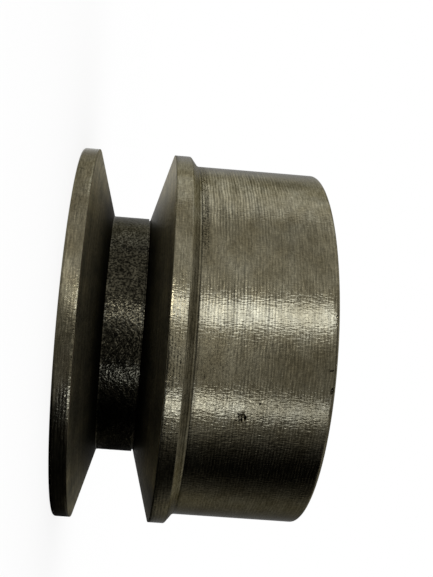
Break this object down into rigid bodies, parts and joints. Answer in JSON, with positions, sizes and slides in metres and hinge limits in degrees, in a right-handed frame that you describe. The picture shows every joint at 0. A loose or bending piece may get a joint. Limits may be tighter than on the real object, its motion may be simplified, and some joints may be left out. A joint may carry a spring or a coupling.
{
  "type": "engine pulley",
  "caption": "Turned steel engine pulley: a V-belt groove between flanges, a short shoulder and a wide plain drum, with a keyed shaft bore.",
  "frame": {"origin": "centre of the outer flange's face, on the shaft's axis, where the pulley stands", "axes": "+Z along the shaft bore, from the groove end up to the drum end; +Y through the keyway"},
  "size_m": [0.08, 0.08, 0.05],
  "materials": {
    "turned_steel": "bare steel as turned, oily and dull, with fine lines round it"
  },
  "bodies": {
    "root": {"pulley": "turned_steel"}
  },
  "joints": []
}
